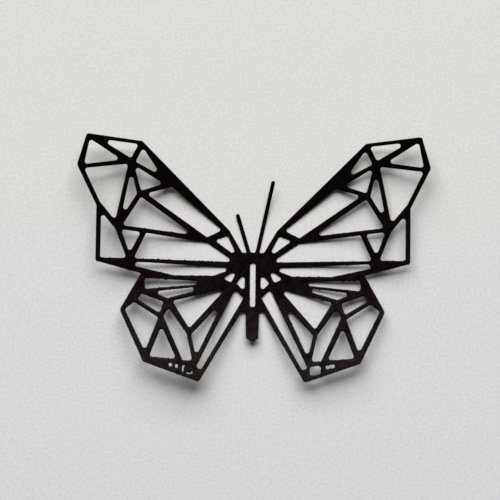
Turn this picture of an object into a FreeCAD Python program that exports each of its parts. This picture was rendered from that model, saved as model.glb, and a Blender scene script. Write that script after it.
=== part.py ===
import FreeCAD, Part

import math
import os

# Cut paper butterfly: one sheet of stiff card with lattice wings, two antennae and a slotted body.
# Millimetres. +Y runs to the head, +X to the right wing, +Z up.
# The origin is the middle of the thorax on the underside of the sheet.

# overall sizes
WINGSPAN = 100.0
LENGTH = 69.9
SHEET_THICKNESS = 0.3

# The lift off the table. The card is flat round the thorax. BEND_START from the origin each wing turns up by
# CREASE, curves up on its radius until it has its slope, and runs straight to its tip. Directions are degrees
# from +X on the right side. The antennae curve up the same way from just above the notches beside them.
BEND_START = 4.0
CREASE = 1.0
FOREWING_LIFT = {"direction": 12.0, "radius": 220.0, "slope": 8.8}
HINDWING_LIFT = {"direction": -59.0, "radius": 95.0, "slope": 9.0}
ANTENNA_LIFT = {"direction": 90.0, "radius": 30.0, "slope": 11.5}

# lattice
RIB_WIDTH = 1.12
PANEL_CORNER_RADIUS = 0.65

# antennae: the left one ends short and leans further out
ANTENNA_WIDTH = 1.12
ANTENNA_SPACING = 2.46
RIGHT_ANTENNA_LENGTH = 20.9
RIGHT_ANTENNA_ANGLE = 12.0
LEFT_ANTENNA_LENGTH = 11.5
LEFT_ANTENNA_ANGLE = 17.2
ANTENNA_ROOM_ANGLE = 24.0

# body
BODY_SLOT_WIDTH = 1.6
BODY_SLOT_LENGTH = 12.45
TAIL_WIDTH = 3.5

# small cuts near the foot of each hindwing
FOOT_SLOT_WIDTH = 1.0
FOOT_BRIDGE_WIDTH = 0.8
CHAD_GAP_WIDTH = 0.45

# The plan below is drawn for this span and length. Its y = 0 is the upper edge of the long middle rib.
PLAN_SPAN = 100.6
PLAN_LENGTH = 70.3
THORAX_ABOVE_PLAN_ZERO = 1.2

# level of the notch between the antennae, and of the notches beside them
HEAD_NOTCH_Y = 2.72
SIDE_NOTCH_Y = 2.65
SIDE_NOTCH_OUTER_X = 3.07
SLOT_TOP_Y = -0.25

# edge of the right wings from the side notch round to the tail: x, y, corner radius
WING_EDGE = [
    (6.8, 9.0, 2.0),
    (31.95, 34.25, 1.0),
    (47.7, 36.25, 0.8),
    (50.4, 27.3, 1.6),
    (44.8, 15.8, 0.4),
    (44.95, 0.0, 0.7),
    (32.0, -3.5, 0.3),
    (37.9, -13.85, 1.6),
    (31.0, -28.6, 0.6),
    (15.1, -34.25, 1.0),
    (2.0, -12.3, 0.75),
]
TAIL_CORNER_Y = -21.85
TAIL_TIP_Y = -22.7

# panels of the right wings; corners lie on the centre lines of the ribs
FOREWING_PANELS = [
    [(36.2, 28.5), (47.2, 35.6), (49.1, 26.8)],
    [(32.15, 33.8), (46.55, 35.55), (34.9, 28.55)],
    [(31.85, 33.4), (34.6, 28.1), (24.65, 22.85)],
    [(24.5, 22.0), (35.05, 28.5), (32.6, 19.35)],
    [(35.05, 29.0), (39.05, 9.2), (32.75, 19.1)],
    [(35.2, 28.35), (49.2, 26.75), (44.35, 16.6), (39.15, 10.25)],
    [(7.95, 9.05), (23.3, 21.9), (32.0, 19.5), (13.25, 6.35)],
    [(14.9, 6.75), (32.35, 19.15), (38.35, 9.75)],
    [(2.7, -0.6), (7.1, 8.25), (12.45, 6.55)],
    [(35.35, 0.3), (38.85, 9.3), (44.0, 15.6), (44.15, 0.3)],
    [(31.3, 8.75), (38.6, 9.7), (35.4, 0.75)],
    [(3.3, -0.6), (12.85, 6.0), (30.95, 8.7), (34.95, 0.2)],
    [(2.35, -1.25), (33.45, 0.35), (34.85, -1.75), (22.8, -4.5), (11.2, -4.55)],
]
ROOT_PANELS = [
    [(3.0, -0.45), (9.95, -4.7), (5.9, -6.6)],
    [(1.7, -1.3), (5.5, -6.0), (1.7, -9.9)],
]
HINDWING_PANELS = [
    [(15.4, -4.95), (31.45, -4.3), (31.4, -8.55), (15.4, -7.05)],
    [(16.35, -6.7), (30.9, -8.4), (24.35, -11.1), (16.45, -8.9)],
    [(24.75, -11.2), (31.95, -8.6), (33.7, -11.0), (26.1, -15.65)],
    [(26.15, -15.85), (33.8, -11.0), (37.1, -13.6), (30.5, -27.1)],
    [(25.95, -16.95), (30.1, -27.6), (20.65, -28.45)],
    [(18.15, -20.4), (24.05, -12.15), (26.0, -15.7), (20.1, -28.7), (16.35, -28.7)],
    [(6.05, -6.6), (23.8, -10.95), (18.1, -20.0)],
    [(6.3, -8.1), (18.05, -20.65), (16.15, -28.8)],
    [(1.85, -10.1), (5.15, -6.8), (16.7, -30.4), (14.2, -31.45)],
]

# foot of the hindwing: a rounded window and a short slot beside it
FOOT_WINDOW = [(16.55, -32.25), (19.6, -31.75), (19.85, -29.2), (16.6, -29.65)]
FOOT_WINDOW_RADIUS = 0.75
FOOT_SLOT_START = (21.1, -29.86)
FOOT_SLOT_END = (23.65, -29.29)
FOOT_BRIDGE_AT = 1.2

# On the left hindwing the scraps were not punched out. The window shows only as two bent gaps.
CHAD_GAPS = [
    [(19.2, -29.55), (19.65, -30.0), (19.65, -31.3)],
    [(16.95, -31.3), (17.25, -31.85), (18.6, -31.75)],
]


def scaled(points):
    """Plan points at the chosen span and length."""
    kx = WINGSPAN / PLAN_SPAN
    ky = LENGTH / PLAN_LENGTH
    return [(x * kx, y * ky) for x, y in points]


def mirrored(points):
    return [(-x, y) for x, y in reversed(points)]


def moved(point, direction, distance):
    return (point[0] + direction[0] * distance, point[1] + direction[1] * distance)


def inset(corners, distance):
    """The polygon with every side moved inwards by distance."""
    count = len(corners)
    area = sum(corners[i - 1][0] * corners[i][1] - corners[i][0] * corners[i - 1][1] for i in range(count))
    turn = 1.0 if area > 0 else -1.0
    sides = []
    for i in range(count):
        x1, y1 = corners[i]
        x2, y2 = corners[(i + 1) % count]
        length = math.hypot(x2 - x1, y2 - y1)
        nx = -turn * (y2 - y1) / length
        ny = turn * (x2 - x1) / length
        sides.append((nx, ny, nx * x1 + ny * y1 + distance))
    result = []
    for i in range(count):
        ax, ay, a = sides[i - 1]
        bx, by, b = sides[i]
        det = ax * by - ay * bx
        result.append(((a * by - b * ay) / det, (ax * b - bx * a) / det))
    return result


def corner_arc(before, corner, after, radius):
    """Start, middle and end of the arc that rounds a corner."""
    here = FreeCAD.Vector(corner[0], corner[1], 0)
    back = FreeCAD.Vector(before[0], before[1], 0) - here
    ahead = FreeCAD.Vector(after[0], after[1], 0) - here
    room = 0.48 * min(back.Length, ahead.Length)
    half = back.getAngle(ahead) / 2
    reach = min(radius / math.tan(half), room)
    radius = reach * math.tan(half)
    back.normalize()
    ahead.normalize()
    middle = back + ahead
    middle.normalize()
    depth = radius / math.sin(half) - radius
    return here + back * reach, here + middle * depth, here + ahead * reach


def rounded_wire(corners, radii):
    """Closed outline of straight sides joined by arcs."""
    count = len(corners)
    arcs = []
    for i in range(count):
        arcs.append(corner_arc(corners[i - 1], corners[i], corners[(i + 1) % count], radii[i]))
    edges = []
    for i in range(count):
        start, middle, end = arcs[i]
        edges.append(Part.Arc(start, middle, end).toShape())
        edges.append(Part.makeLine(end, arcs[(i + 1) % count][0]))
    return Part.Wire(edges)


def rounded(corners, radius):
    return rounded_wire(corners, [radius] * len(corners))


def at_level(point, direction, y):
    """Where the line through point meets the given y."""
    return moved(point, direction, (y - point[1]) / direction[1])


def antenna(length, angle):
    """Corners of an antenna that leans to the right: inner root, inner tip, outer tip, outer root."""
    lean = math.radians(angle)
    along = (math.sin(lean), math.cos(lean))
    across = (math.cos(lean), -math.sin(lean))
    root = (ANTENNA_SPACING / 2, scaled([(0, HEAD_NOTCH_Y)])[0][1])
    inner = moved(root, across, -ANTENNA_WIDTH / 2)
    outer = moved(root, across, ANTENNA_WIDTH / 2)
    side_notch = scaled([(0, SIDE_NOTCH_Y)])[0][1]
    return [
        at_level(inner, along, root[1]),
        moved(inner, along, length),
        moved(outer, along, length),
        at_level(outer, along, side_notch),
    ]


def half_outline(length, angle):
    """Right half of the outline from the head notch to the tail, with the radius of each corner."""
    feeler = antenna(length, angle)
    wing = scaled([(SIDE_NOTCH_OUTER_X, SIDE_NOTCH_Y)] + [(x, y) for x, y, r in WING_EDGE])
    tail = (TAIL_WIDTH / 2, scaled([(0, TAIL_CORNER_Y)])[0][1])
    tip_radius = ANTENNA_WIDTH * 0.49
    radii = [0.8, tip_radius, tip_radius, 0.45, 0.5] + [r for x, y, r in WING_EDGE] + [0.4]
    return feeler + wing + [tail], radii


def outline_wire():
    right, right_radii = half_outline(RIGHT_ANTENNA_LENGTH, RIGHT_ANTENNA_ANGLE)
    left, left_radii = half_outline(LEFT_ANTENNA_LENGTH, LEFT_ANTENNA_ANGLE)
    tip = scaled([(0, TAIL_TIP_Y)])
    corners = right + tip + mirrored(left)
    return rounded_wire(corners, right_radii + [0.3] + left_radii[::-1])


def body_slot():
    x = BODY_SLOT_WIDTH / 2
    top = scaled([(0, SLOT_TOP_Y)])[0][1]
    bottom = top - BODY_SLOT_LENGTH
    return rounded([(-x, bottom), (x, bottom), (x, top), (-x, top)], BODY_SLOT_WIDTH * 0.45)


def slot_piece(start, end, begin, stop):
    """Corners of the part of a straight slot between two distances along it."""
    length = math.dist(start, end)
    along = ((end[0] - start[0]) / length, (end[1] - start[1]) / length)
    across = (-along[1], along[0])
    a = moved(start, along, begin)
    b = moved(start, along, stop)
    half = FOOT_SLOT_WIDTH / 2
    return [moved(a, across, half), moved(b, across, half), moved(b, across, -half), moved(a, across, -half)]


def bent_gap(path):
    """Corners of a gap of constant width along two straight legs."""
    half = CHAD_GAP_WIDTH / 2
    sides = []
    for sign in (1, -1):
        a, b, c = [FreeCAD.Vector(x, y, 0) for x, y in path]
        first = (b - a).normalize()
        second = (c - b).normalize()
        left_first = FreeCAD.Vector(-first.y, first.x, 0)
        left_second = FreeCAD.Vector(-second.y, second.x, 0)
        bend = (left_first + left_second).normalize()
        spread = half / bend.dot(left_first)
        row = [a + left_first * half * sign, b + bend * spread * sign, c + left_second * half * sign]
        sides.append([(v.x, v.y) for v in row])
    return sides[0] + sides[1][::-1]


def panel_corners():
    panels = FOREWING_PANELS + ROOT_PANELS + HINDWING_PANELS
    return [inset(scaled(panel), RIB_WIDTH / 2) for panel in panels]


def right_foot_cuts():
    start, end = scaled([FOOT_SLOT_START, FOOT_SLOT_END])
    slot = slot_piece(start, end, 0, math.dist(start, end))
    return [rounded(scaled(FOOT_WINDOW), FOOT_WINDOW_RADIUS), rounded(slot, FOOT_SLOT_WIDTH * 0.45)]


def left_foot_cuts():
    start, end = scaled([FOOT_SLOT_START, FOOT_SLOT_END])
    before = FOOT_BRIDGE_AT - FOOT_BRIDGE_WIDTH / 2
    after = FOOT_BRIDGE_AT + FOOT_BRIDGE_WIDTH / 2
    near = slot_piece(start, end, 0, before)
    far = slot_piece(start, end, after, math.dist(start, end))
    gaps = [rounded(mirrored(bent_gap(scaled(path))), CHAD_GAP_WIDTH * 0.4) for path in CHAD_GAPS]
    return gaps + [rounded(mirrored(near), 0.3), rounded(mirrored(far), 0.4)]


def openings():
    wires = [body_slot()] + right_foot_cuts() + left_foot_cuts()
    for corners in panel_corners():
        wires.append(rounded(corners, PANEL_CORNER_RADIUS))
        wires.append(rounded(mirrored(corners), PANEL_CORNER_RADIUS))
    return wires


def prism(wire, bottom, height):
    face = Part.Face(wire)
    face.translate(FreeCAD.Vector(0, 0, bottom))
    return face.extrude(FreeCAD.Vector(0, 0, height))


def placed(shape):
    """A shape of the plan moved so that the origin is in the thorax."""
    shape.translate(FreeCAD.Vector(0, -THORAX_ABOVE_PLAN_ZERO, 0))
    return shape


def above_bend(lift, start, level):
    """All above a bent surface that lies level above the card's underside. It is flat up to the crease."""
    crease = math.radians(CREASE)
    slope = math.radians(lift["slope"])
    centre = FreeCAD.Vector(start - lift["radius"] * math.sin(crease), 0, lift["radius"] * math.cos(crease))
    radius = lift["radius"] - level
    reach = WINGSPAN + LENGTH

    def on_bend(angle):
        return centre + FreeCAD.Vector(math.sin(angle) * radius, -reach, -math.cos(angle) * radius)

    crease_angle = math.acos((centre.z - level) / radius)
    bend_end = on_bend(slope)
    far_end = bend_end + FreeCAD.Vector(math.cos(slope), 0, math.sin(slope)) * 2 * reach
    flat_end = FreeCAD.Vector(-reach, -reach, level)
    top = FreeCAD.Vector(0, 0, reach)
    bend = Part.Arc(on_bend(crease_angle), on_bend((crease_angle + slope) / 2), bend_end).toShape()
    sides = Part.makePolygon([bend_end, far_end, far_end + top, flat_end + top, flat_end, on_bend(crease_angle)])
    space = Part.Face(Part.Wire([bend] + sides.Edges)).extrude(FreeCAD.Vector(0, 2 * reach, 0))
    space.rotate(FreeCAD.Vector(0, 0, 0), FreeCAD.Vector(0, 0, 1), lift["direction"])
    return space


def card_on(lifts, start):
    """Card that follows the highest of some bends."""
    under = above_bend(lifts[0], start, 0)
    upper = above_bend(lifts[0], start, SHEET_THICKNESS)
    for lift in lifts[1:]:
        under = under.common(above_bend(lift, start, 0))
        upper = upper.common(above_bend(lift, start, SHEET_THICKNESS))
    return under.cut(upper)


def wing_card():
    reach = WINGSPAN + LENGTH
    right_half = Part.makeBox(reach, 2 * reach, 2 * reach, FreeCAD.Vector(0, -reach, -reach))
    right = card_on([FOREWING_LIFT, HINDWING_LIFT], BEND_START).common(right_half)
    left = right.mirror(FreeCAD.Vector(0, 0, 0), FreeCAD.Vector(1, 0, 0))
    return right.fuse(left)


def antenna_room():
    """Tall space round the antennae. Its sides run up through the middle of the notches beside them."""
    reach = WINGSPAN + LENGTH
    antenna_side = (ANTENNA_SPACING + ANTENNA_WIDTH) / 2
    notch = scaled([((antenna_side + SIDE_NOTCH_OUTER_X) / 2, SIDE_NOTCH_Y)])[0]
    spread = reach * math.tan(math.radians(ANTENNA_ROOM_ANGLE))
    right = [(notch[0], 0), notch, moved(notch, (spread, reach), 1)]
    corners = right + mirrored(right)
    wire = Part.makePolygon([FreeCAD.Vector(x, y, 0) for x, y in corners + corners[:1]])
    return placed(prism(wire, -reach, 2 * reach))


def bent_card():
    """The card before it is cut out."""
    room = antenna_room()
    start = scaled([(0, HEAD_NOTCH_Y)])[0][1] - THORAX_ABOVE_PLAN_ZERO
    antennae = card_on([ANTENNA_LIFT], start).common(room)
    return wing_card().cut(room).fuse(antennae).removeSplitter()


def butterfly():
    below = -1.0
    height = WINGSPAN / 2
    plan = prism(outline_wire(), below, height)
    plan = plan.cut([prism(wire, below, height) for wire in openings()])
    return bent_card().common(placed(plan))


def main():
    os.makedirs("parts", exist_ok=True)
    sheet = butterfly().Solids
    if len(sheet) != 1:
        raise ValueError("the sheet came apart into %d pieces" % len(sheet))
    sheet[0].exportStep("parts/butterfly_sheet.step")


main()
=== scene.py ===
import math

import bmesh
import bpy
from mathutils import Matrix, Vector, noise
from mathutils.bvhtree import BVHTree
from mathutils.geometry import delaunay_2d_cdt
from mathutils.kdtree import KDTree


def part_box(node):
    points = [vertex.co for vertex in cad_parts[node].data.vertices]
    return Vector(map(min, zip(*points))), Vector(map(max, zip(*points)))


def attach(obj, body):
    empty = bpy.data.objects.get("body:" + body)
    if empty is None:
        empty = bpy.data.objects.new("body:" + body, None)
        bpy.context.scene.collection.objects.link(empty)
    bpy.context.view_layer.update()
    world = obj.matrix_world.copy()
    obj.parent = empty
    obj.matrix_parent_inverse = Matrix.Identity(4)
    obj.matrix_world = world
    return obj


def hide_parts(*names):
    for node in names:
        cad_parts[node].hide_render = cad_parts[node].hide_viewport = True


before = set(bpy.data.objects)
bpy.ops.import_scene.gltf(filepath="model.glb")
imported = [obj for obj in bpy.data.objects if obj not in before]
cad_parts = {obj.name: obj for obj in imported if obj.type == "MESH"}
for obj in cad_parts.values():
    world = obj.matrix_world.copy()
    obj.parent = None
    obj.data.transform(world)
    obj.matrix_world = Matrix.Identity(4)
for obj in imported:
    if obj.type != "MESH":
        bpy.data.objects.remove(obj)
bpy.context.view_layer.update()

# A butterfly cut from one sheet of black card, lying on a pale table with its wings lifted a little.
# The card is meshed again from the rims of the CAD sheet, so that its cut edges are soft and fibrous,
# its bends are smooth and its surface is slightly uneven. Lengths are metres.

NODE = "butterfly_sheet"
MM = 0.001

# meshing of the card
RIM_STEP = 0.17 * MM          # longest piece of a cut edge
FACE_STEP = 0.75 * MM         # spacing of the points between the cut edges
RIM_CLEARANCE = 0.3 * MM      # the least distance from those points to a cut edge
EDGE_SOFTNESS = 0.05 * MM     # radius of the worn edge along each cut
BEND_BLUR = 4.0 * MM          # reach of the smoothing that rounds the bends between the wings
BLUR_RINGS = ((0.0, 1.0), (0.5, 0.8), (1.0, 0.4))  # radius of each ring as a share of that reach, and weight
RING_POINTS = 6               # samples on each ring but the middle one
JITTER = 0.2                  # shift of the points between the cuts, as a share of their spacing
JITTER_LENGTH = 0.4           # length over which that shift varies, as a share of the same
FACING = 0.5                  # least upright part of a normal on the upper face or the underside
LEVEL = 0.999                 # the same for the part of the card that lies flat
WELD_DISTANCE = 1e-7
MERGE_DISTANCE = 1e-6         # in millimetres, for points of the plan
UPPER_WEAR = 0.3              # inset and drop of the worn upper corner's middle, as a share of its radius
LOWER_WEAR = 0.7              # size of the bevel on the lower corner, as a share of the same radius

# unevenness
SEED = 7                              # noise_vector is seeded by the clock unless this is set
RIM_WAVE = (0.014 * MM, 0.9 * MM)     # depth and length of the slow wander of a cut edge
RIM_FIBRE = (0.010 * MM, 0.22 * MM)   # depth and length of the fibres along a cut edge
RIM_NUB = (0.42 * MM, 0.5 * MM)       # noise depth and length of torn nubs on cuts along the fibres
NUB_LEVEL = 0.04                      # share of that depth below which the cut stays smooth
ALONG_FIBRES = 5                      # power that keeps the nubs to cuts that run with the fibres
ACROSS_FIBRES = 0.4                   # least share of that depth on the hindwings' other cuts
ACROSS_REACH = 10 * MM                # distance behind the thorax at which that share is reached
NUB_CLUSTER = (1.4, 6 * MM)           # strength and length of the noise by which nubs come and go
CLUSTER_MEAN = 0.85
CLUSTER_LEAST = 0.45
HEAD_CALM = 0.8                       # share of the nubs that the head end has lost
HEAD_REACH = 20 * MM                  # distance ahead of the thorax at which it has lost them
COCKLE = (0.07 * MM, 17 * MM)         # depth and length of the waves in the card

# noise planes, one for each use of the noise, so that no two are alike
WAVE_PLANE = 3.1
FIBRE_PLANE = 8.7
NUB_PLANE = 6.9
CLUSTER_PLANE = 5.3
COCKLE_PLANE = 1.7

# The right side lies lower than the CAD's, and the card clings to the table near the thorax, which takes
# the antennae and the tail down too. The spans are a start and a length.
HINDWING_SAG = 0.26                   # share of its lift that the right hindwing has lost
FOREWING_SAG = 0.40                   # the same for the right forewing
TIP_SAG = 0.14                        # the same for the right forewing's tip
SAG_REACH = 20 * MM                   # distance right of the thorax at which the loss is whole
WING_SPAN = (-20 * MM, 12 * MM)       # along Y, from the hindwing's loss to the forewing's
TIP_SPAN = (42 * MM, 15 * MM)         # away from the thorax, from either loss to the tip's
CLING_SPAN = (5 * MM, 22 * MM)        # away from the thorax, from the table to the CAD's height
FREE_SIDE = 5 * MM                    # distance left of the thorax at which the left hindwing is free
FREE_REAR = (2 * MM, 8 * MM)          # along -Y, from a clinging forewing to a free left hindwing

# the card's colour holds painted light: blackest at the head end of the wings and painted lighter and
# browner towards the feet: places along Y
PAINTED_LIGHT_HEAD_Y = 28 * MM
PAINTED_LIGHT_FOOT_Y = -30 * MM

# painted light: the table's colour is painted a little warmer before the head and cooler behind the feet,
# for the tints of the light: distance along Y
TINT_REACH = 75 * MM

# looks: colours are linear red, green and blue
# the card's own black at the head end, then with painted light, lighter and browner, at the middle and the
# feet
CARD_TONES_AND_PAINTED_LIGHT = ((0.0012, 0.0005, 0.0008, 1), (0.0058, 0.0025, 0.0028, 1), (0.0118, 0.0088, 0.0080, 1))
PAINTED_LIGHT_MIDDLE = 0.65                    # place of the second tone, between the two ends of the painted light
CUT_TONE = (0.024, 0.014, 0.011, 1)
CARD_SPECKLE = (0.4, 0.6, 0.0, 2.0)   # range of the grain, and the brightness that it gives
CARD_ROUGHNESS = (0.3, 0.42)
CARD_SPECULAR = 0.08
FIBRE_STRETCH = (1.0, 1.5, 1.0)
FIBRE_SCALE = 2000.0
MOTTLE_SCALE = 420.0
MOTTLE_SHARE = 0.3
FRAY_SCALE = 5200.0
# the table's pale colour, with painted light that makes it warmer before the head and cooler behind the feet
FLOOR_TONES_WITH_PAINTED_TINT = ((0.797, 0.792, 0.752, 1), (0.784, 0.792, 0.814, 1))
FLOOR_SPECKLE = (0.3, 0.7, 0.93, 1.07)
FLOOR_ROUGHNESS = 0.9
FLOOR_SPECULAR = 0.2
FLOOR_GRAIN_SCALE = 1300.0
CARD_BUMP = 0.5
FLOOR_BUMP = 0.2
BUMP_HEIGHT = 0.02 * MM
FLOOR_HALF = 2.0

# one wide window, just left of straight ahead of the head
WINDOW_DIRECTION = (94.2, 36.5)       # azimuth and elevation in degrees
WINDOW_DISTANCE = 3.0
WINDOW_SIZE = (3.6, 2.24)
WINDOW_POWER = 165.5
WINDOW_COLOUR = (1.0, 0.995, 0.985)
ROOM_COLOUR = (0.97, 0.985, 1.0, 1)
ROOM_STRENGTH = 0.04

# camera
VIEW_WIDTH = 142.45 * MM
CAMERA_HEIGHT = 0.8
VIEW_CENTRE = Vector((-0.88, 2.29, 0)) * MM
VIEW_TURN = math.radians(0.68)
SENSOR = 36.0
NEAR_CLIP = 0.01


def rim_loops(node):
    """Closed rims of the sheet's upper face, as lists of points with the card on their left."""
    mesh = bmesh.new()
    mesh.from_mesh(node.data)
    bmesh.ops.remove_doubles(mesh, verts=mesh.verts, dist=WELD_DISTANCE)
    mesh.normal_update()
    upper = [face for face in mesh.faces if face.normal.z > FACING]
    is_upper = set(upper)
    following = {}
    for face in upper:
        for corner in face.loops:
            if any(other not in is_upper for other in corner.edge.link_faces):
                following[corner.vert] = corner.link_loop_next.vert
    loops = []
    while following:
        start = next(iter(following))
        points = []
        vert = start
        while vert in following:
            points.append(vert.co.to_2d())
            vert = following.pop(vert)
        loops.append(points)
    mesh.free()
    return loops


def divided(points):
    """The loop with its long sides cut into steps."""
    result = []
    for i, here in enumerate(points):
        ahead = points[(i + 1) % len(points)]
        steps = max(1, math.ceil((ahead - here).length / RIM_STEP))
        result += [here.lerp(ahead, step / steps) for step in range(steps)]
    return result


def side_normals(points):
    """Unit vectors at each point of a loop that face into the card."""
    normals = []
    for i, here in enumerate(points):
        before = (here - points[i - 1]).normalized()
        after = (points[(i + 1) % len(points)] - here).normalized()
        tangent = (before + after).normalized()
        normals.append(Vector((-tangent.y, tangent.x)))
    return normals


def wander(point, wave, plane):
    depth, length = wave
    return depth * noise.noise(Vector((point.x / length, point.y / length, plane)))


def smooth_step(value):
    value = min(1.0, max(0.0, value))
    return value * value * (3 - 2 * value)


def along_span(value, span):
    start, length = span
    return smooth_step((value - start) / length)


def settled(x, y):
    """Share of the CAD's height that clinging leaves near the thorax, and share of it lost to sagging."""
    away = math.hypot(x, y)
    free = along_span(away, CLING_SPAN)
    left_hindwing = smooth_step(-x / FREE_SIDE) * smooth_step((FREE_REAR[0] - y) / FREE_REAR[1])
    free += (1 - free) * left_hindwing
    sag = HINDWING_SAG + (FOREWING_SAG - HINDWING_SAG) * along_span(y, WING_SPAN)
    sag += (TIP_SAG - sag) * along_span(away, TIP_SPAN)
    return free, sag * smooth_step(x / SAG_REACH)


def nub(point, normal):
    """Depth of a torn nub, which stands out of the cut. The fibres lie along the span."""
    across = ACROSS_FIBRES * smooth_step(-point.y / ACROSS_REACH)
    with_fibres = max(abs(normal.y) ** ALONG_FIBRES, across)
    cluster = CLUSTER_MEAN + wander(point, NUB_CLUSTER, CLUSTER_PLANE)
    cluster = min(1.0, max(CLUSTER_LEAST, cluster))
    cluster *= 1 - HEAD_CALM * smooth_step(point.y / HEAD_REACH)
    depth = RIM_NUB[0]
    return with_fibres * cluster * max(0.0, wander(point, RIM_NUB, NUB_PLANE) - NUB_LEVEL * depth)


def frayed(points, normals):
    """The loop with the small unevenness of a cut through paper fibres."""
    result = []
    for point, normal in zip(points, normals):
        uneven = wander(point, RIM_WAVE, WAVE_PLANE) + wander(point, RIM_FIBRE, FIBRE_PLANE)
        result.append(point + normal * (uneven - nub(point, normal)))
    return result


class CardHeight:
    """Height of the underside of the card over any point of the plan, with its bends smoothed."""

    def __init__(self, node):
        mesh = node.data
        faces = [tuple(face.vertices) for face in mesh.polygons if face.normal.z < -FACING]
        self.tree = BVHTree.FromPolygons([vert.co for vert in mesh.vertices], faces)
        self.half_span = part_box(NODE)[1].x

    def plain(self, x, y):
        near = Vector((x, y, 0))
        for _ in range(2):
            spot, normal, _, _ = self.tree.find_nearest(near)
            near.z = spot.z - (normal.x * (x - spot.x) + normal.y * (y - spot.y)) / normal.z
        return near.z

    def __call__(self, x, y):
        total = 0.0
        weight = 0.0
        for ring, share in BLUR_RINGS:
            for step in range(RING_POINTS if ring else 1):
                angle = math.tau * step / RING_POINTS + ring
                dx = BEND_BLUR * ring * math.cos(angle)
                dy = BEND_BLUR * ring * math.sin(angle)
                total += share * self.plain(x + dx, y + dy)
                weight += share
        free, sag = settled(x, y)
        reach = math.hypot(x, y) / self.half_span
        depth, length = COCKLE
        cockle = depth * reach * noise.noise(Vector((x / length, y / length, COCKLE_PLANE)))
        return max((1 - sag) * free * total / weight + cockle, 0.0)


def face_points(node, rims):
    """A loose grid of points on the card, clear of the cut edges."""
    mesh = node.data
    faces = [tuple(face.vertices) for face in mesh.polygons]
    tree = BVHTree.FromPolygons([vert.co for vert in mesh.vertices], faces)
    edge_points = [point for rim in rims for point in rim]
    near = KDTree(len(edge_points))
    for i, point in enumerate(edge_points):
        near.insert(point.to_3d(), i)
    near.balance()
    low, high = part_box(NODE)
    points = []
    for row in range(math.ceil((high.y - low.y) / FACE_STEP)):
        for column in range(math.ceil((high.x - low.x) / FACE_STEP)):
            x = low.x + (column + 0.5 * (row % 2)) * FACE_STEP
            y = low.y + row * FACE_STEP
            jitter = noise.noise_vector(Vector((x, y, 0)) / (JITTER_LENGTH * FACE_STEP)) * JITTER * FACE_STEP
            spot = Vector((x + jitter.x, y + jitter.y, 0))
            on_card = tree.ray_cast(spot + Vector((0, 0, 1)), Vector((0, 0, -1)))[0]
            if on_card and near.find(spot)[2] > RIM_CLEARANCE:
                points.append(spot.to_2d())
    return points


def card_triangles(faces, rim_edges):
    """The triangles on the left of the rims, found by spreading out from the rims."""
    owner = {}
    for i, face in enumerate(faces):
        for a, b in zip(face, face[1:] + face[:1]):
            owner[a, b] = i
    kept = {owner[edge] for edge in rim_edges}
    waiting = list(kept)
    while waiting:
        face = faces[waiting.pop()]
        for a, b in zip(face, face[1:] + face[:1]):
            neighbour = owner.get((b, a))
            if (a, b) not in rim_edges and neighbour not in kept:
                kept.add(neighbour)
                waiting.append(neighbour)
    return [faces[i] for i in sorted(kept)]


def plan_mesh(node, rims, normals):
    """Points and triangles of the card's face in plan, and the number that each rim point has among them."""
    points = []
    edges = []
    for rim, normal in zip(rims, normals):
        first = len(points)
        points += [point + side * EDGE_SOFTNESS for point, side in zip(rim, normal)]
        edges += [(first + i, first + (i + 1) % len(rim)) for i in range(len(rim))]
    points += face_points(node, rims)
    scaled = [point / MM for point in points]
    flat, _, faces, origins, _, _ = delaunay_2d_cdt(scaled, edges, [], 1, MERGE_DISTANCE)
    place = {source: i for i, sources in enumerate(origins) for source in sources}
    faces = card_triangles(faces, {(place[a], place[b]) for a, b in edges})
    return [point * MM for point in flat], faces, place


def cut_profile(thickness):
    """Distance into the card and height within it at each ring below the upper face, down the cut."""
    wear = UPPER_WEAR * EDGE_SOFTNESS
    bevel = LOWER_WEAR * EDGE_SOFTNESS
    return [(wear, thickness - wear), (0.0, thickness - EDGE_SOFTNESS), (0.0, bevel), (bevel, 0.0)]


def add_cut_rings(verts, rim, normal, upper_ring, height, thickness):
    """Rings of vertices down one cut, with upper_ring as the first. The others are added to verts."""
    rings = [upper_ring]
    base = [height(point.x, point.y) for point in rim]
    for inward, level in cut_profile(thickness):
        ring = []
        for point, side, z in zip(rim, normal, base):
            spot = point + side * inward
            ring.append(len(verts))
            verts.append((spot.x, spot.y, z + level))
        rings.append(ring)
    return rings


def wall_faces(rings):
    """Faces between each ring and the one below it."""
    faces = []
    for above, below in zip(rings, rings[1:]):
        for i in range(len(above)):
            j = (i + 1) % len(above)
            faces.append((above[i], below[i], below[j], above[j]))
    return faces


def card_mesh(node):
    """The card as a closed mesh, with the attribute cut_edge at 1 on the cuts and 0 on the faces."""
    thickness = upper_minus_under(node)
    height = CardHeight(node)
    cuts = [divided(loop) for loop in rim_loops(node)]
    normals = [side_normals(cut) for cut in cuts]
    rims = [frayed(cut, normal) for cut, normal in zip(cuts, normals)]
    plan, faces, place = plan_mesh(node, rims, normals)

    under_z = [height(point.x, point.y) for point in plan]
    verts = [(point.x, point.y, z + thickness) for point, z in zip(plan, under_z)]
    on_cut = [0.0] * len(verts)
    walls = []
    under = {}
    start = 0
    for rim, normal in zip(rims, normals):
        upper_ring = [place[start + i] for i in range(len(rim))]
        rings = add_cut_rings(verts, rim, normal, upper_ring, height, thickness)
        walls += wall_faces(rings)
        under.update(zip(upper_ring, rings[-1]))
        start += len(rim)
    on_cut += [1.0] * (len(verts) - len(on_cut))

    for i, point in enumerate(plan):
        if i not in under:
            under[i] = len(verts)
            verts.append((point.x, point.y, under_z[i]))
    on_cut += [0.0] * (len(verts) - len(on_cut))
    polygons = [tuple(face) for face in faces]
    polygons += [tuple(under[i] for i in reversed(face)) for face in faces]
    polygons += walls

    mesh = bpy.data.meshes.new("card")
    mesh.from_pydata(verts, [], polygons)
    mesh.validate()
    attribute = mesh.attributes.new("cut_edge", "FLOAT", "POINT")
    attribute.data.foreach_set("value", on_cut)
    mesh.polygons.foreach_set("use_smooth", [True] * len(mesh.polygons))
    return mesh


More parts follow.
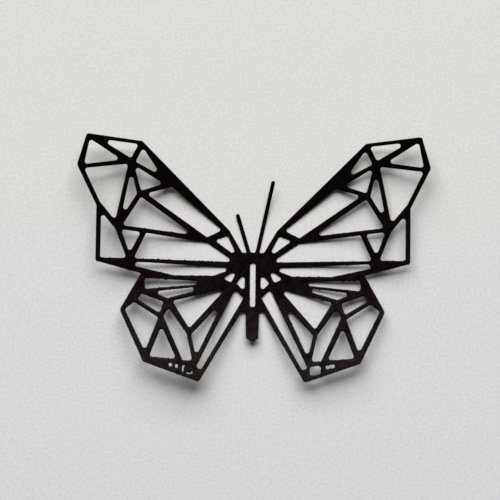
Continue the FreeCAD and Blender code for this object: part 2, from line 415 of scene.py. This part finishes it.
def upper_minus_under(node):
    """Thickness of the card, from the lowest points of its upper face and underside."""
    lowest_upper = min(face.center.z for face in node.data.polygons if face.normal.z > LEVEL)
    lowest_under = min(face.center.z for face in node.data.polygons if face.normal.z < -LEVEL)
    return lowest_upper - lowest_under


def add_node(tree, kind, settings=None, inputs=None):
    node = tree.nodes.new(kind)
    for name, value in (settings or {}).items():
        setattr(node, name, value)
    for name, value in (inputs or {}).items():
        if isinstance(value, bpy.types.NodeSocket):
            tree.links.new(value, node.inputs[name])
        else:
            node.inputs[name].default_value = value
    return node


def scaled_range(tree, value, spans):
    """Node that maps a value from one range to another, both given in spans."""
    names = ("From Min", "From Max", "To Min", "To Max")
    return add_node(tree, "ShaderNodeMapRange", inputs={"Value": value, **dict(zip(names, spans))})


def card_material():
    material = bpy.data.materials.new("black_card")
    material.use_nodes = True
    tree = material.node_tree
    shader = tree.nodes["Principled BSDF"]
    place = add_node(tree, "ShaderNodeTexCoord").outputs["Object"]

    fibre_place = add_node(tree, "ShaderNodeMapping", inputs={"Vector": place, "Scale": FIBRE_STRETCH})
    fibre = add_node(tree, "ShaderNodeTexNoise",
                     inputs={"Vector": fibre_place.outputs[0], "Scale": FIBRE_SCALE, "Detail": 3.0,
                             "Roughness": 0.6})
    mottle = add_node(tree, "ShaderNodeTexNoise",
                      inputs={"Vector": place, "Scale": MOTTLE_SCALE, "Detail": 2.0})
    grain = add_node(tree, "ShaderNodeMix", inputs={"Factor": MOTTLE_SHARE})
    tree.links.new(fibre.outputs["Fac"], grain.inputs[2])
    tree.links.new(mottle.outputs["Fac"], grain.inputs[3])
    speckle = scaled_range(tree, grain.outputs[0], CARD_SPECKLE)
    # painted light: the card's colour is made lighter and browner from the head end of the wings to the feet
    along = add_node(tree, "ShaderNodeSeparateXYZ", inputs={"Vector": place})
    painted_light_place = scaled_range(tree, along.outputs["Y"], (PAINTED_LIGHT_HEAD_Y, PAINTED_LIGHT_FOOT_Y))
    tone_and_painted_light = add_node(tree, "ShaderNodeValToRGB", inputs={"Fac": painted_light_place.outputs[0]})
    tone_and_painted_light.color_ramp.elements[0].color = CARD_TONES_AND_PAINTED_LIGHT[0]
    tone_and_painted_light.color_ramp.elements[1].color = CARD_TONES_AND_PAINTED_LIGHT[2]
    middle = tone_and_painted_light.color_ramp.elements.new(PAINTED_LIGHT_MIDDLE)
    middle.color = CARD_TONES_AND_PAINTED_LIGHT[1]
    speckled = add_node(tree, "ShaderNodeVectorMath", {"operation": "SCALE"},
                        {0: tone_and_painted_light.outputs["Color"], "Scale": speckle.outputs[0]})

    cut = add_node(tree, "ShaderNodeAttribute", {"attribute_name": "cut_edge"})
    fray = add_node(tree, "ShaderNodeTexNoise", inputs={"Vector": place, "Scale": FRAY_SCALE, "Detail": 2.0})
    worn = add_node(tree, "ShaderNodeMath", {"operation": "MULTIPLY"},
                    {0: cut.outputs["Fac"], 1: fray.outputs["Fac"]})
    colour = add_node(tree, "ShaderNodeMix", {"data_type": "RGBA"})
    tree.links.new(worn.outputs[0], colour.inputs["Factor"])
    tree.links.new(speckled.outputs[0], colour.inputs[6])
    colour.inputs[7].default_value = CUT_TONE
    tree.links.new(colour.outputs[2], shader.inputs["Base Color"])

    rough = scaled_range(tree, fibre.outputs["Fac"], (0.0, 1.0) + CARD_ROUGHNESS)
    tree.links.new(rough.outputs[0], shader.inputs["Roughness"])
    shader.inputs["Specular IOR Level"].default_value = CARD_SPECULAR

    bump = add_node(tree, "ShaderNodeBump", inputs={"Height": fibre.outputs["Fac"], "Strength": CARD_BUMP,
                                                    "Distance": BUMP_HEIGHT})
    tree.links.new(bump.outputs[0], shader.inputs["Normal"])
    return material


def floor_material():
    material = bpy.data.materials.new("pale_table")
    material.use_nodes = True
    tree = material.node_tree
    shader = tree.nodes["Principled BSDF"]
    place = add_node(tree, "ShaderNodeTexCoord").outputs["Object"]
    cloud = add_node(tree, "ShaderNodeTexNoise",
                     inputs={"Vector": place, "Scale": FLOOR_GRAIN_SCALE, "Detail": 4.0})
    speckle = scaled_range(tree, cloud.outputs["Fac"], FLOOR_SPECKLE)
    # painted light: the table's colour goes from warmer before the head to cooler behind the feet
    along = add_node(tree, "ShaderNodeSeparateXYZ", inputs={"Vector": place})
    painted_light_place = scaled_range(tree, along.outputs["Y"], (TINT_REACH, -TINT_REACH))
    tone_and_painted_light = add_node(tree, "ShaderNodeValToRGB", inputs={"Fac": painted_light_place.outputs[0]})
    tone_and_painted_light.color_ramp.elements[0].color = FLOOR_TONES_WITH_PAINTED_TINT[0]
    tone_and_painted_light.color_ramp.elements[1].color = FLOOR_TONES_WITH_PAINTED_TINT[1]
    speckled = add_node(tree, "ShaderNodeVectorMath", {"operation": "SCALE"},
                        {0: tone_and_painted_light.outputs["Color"], "Scale": speckle.outputs[0]})
    tree.links.new(speckled.outputs[0], shader.inputs["Base Color"])
    shader.inputs["Roughness"].default_value = FLOOR_ROUGHNESS
    shader.inputs["Specular IOR Level"].default_value = FLOOR_SPECULAR
    bump = add_node(tree, "ShaderNodeBump", inputs={"Height": cloud.outputs["Fac"], "Strength": FLOOR_BUMP,
                                                    "Distance": BUMP_HEIGHT})
    tree.links.new(bump.outputs[0], shader.inputs["Normal"])
    return material


def add_card(node):
    card = bpy.data.objects.new("card_butterfly", card_mesh(node))
    bpy.context.collection.objects.link(card)
    card.data.materials.append(card_material())
    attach(card, "root")
    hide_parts(NODE)


def add_floor():
    half = FLOOR_HALF
    corners = [(-half, -half, 0), (half, -half, 0), (half, half, 0), (-half, half, 0)]
    mesh = bpy.data.meshes.new("table")
    mesh.from_pydata(corners, [], [(0, 1, 2, 3)])
    floor = bpy.data.objects.new("table", mesh)
    bpy.context.collection.objects.link(floor)
    mesh.materials.append(floor_material())


def add_lights():
    azimuth, elevation = (math.radians(angle) for angle in WINDOW_DIRECTION)
    data = bpy.data.lights.new("window", "AREA")
    data.shape = "RECTANGLE"
    data.size, data.size_y = WINDOW_SIZE
    data.energy = WINDOW_POWER
    data.color = WINDOW_COLOUR
    light = bpy.data.objects.new("window", data)
    offset = Vector((math.cos(azimuth) * math.cos(elevation), math.sin(azimuth) * math.cos(elevation),
                     math.sin(elevation)))
    light.location = offset * WINDOW_DISTANCE
    light.rotation_euler = offset.to_track_quat("Z", "Y").to_euler()
    bpy.context.collection.objects.link(light)

    world = bpy.data.worlds.new("studio")
    world.use_nodes = True
    background = world.node_tree.nodes["Background"]
    background.inputs["Color"].default_value = ROOM_COLOUR
    background.inputs["Strength"].default_value = ROOM_STRENGTH
    bpy.context.scene.world = world


def add_camera():
    data = bpy.data.cameras.new("camera")
    data.sensor_width = SENSOR
    data.lens = SENSOR * CAMERA_HEIGHT / VIEW_WIDTH
    data.clip_start = NEAR_CLIP
    camera = bpy.data.objects.new("camera", data)
    camera.location = VIEW_CENTRE + Vector((0, 0, CAMERA_HEIGHT))
    camera.rotation_euler = (0, 0, VIEW_TURN)
    bpy.context.collection.objects.link(camera)
    bpy.context.scene.camera = camera


noise.seed_set(SEED)
add_card(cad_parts[NODE])
add_floor()
add_lights()
add_camera()
bpy.context.scene.view_settings.view_transform = "Standard"
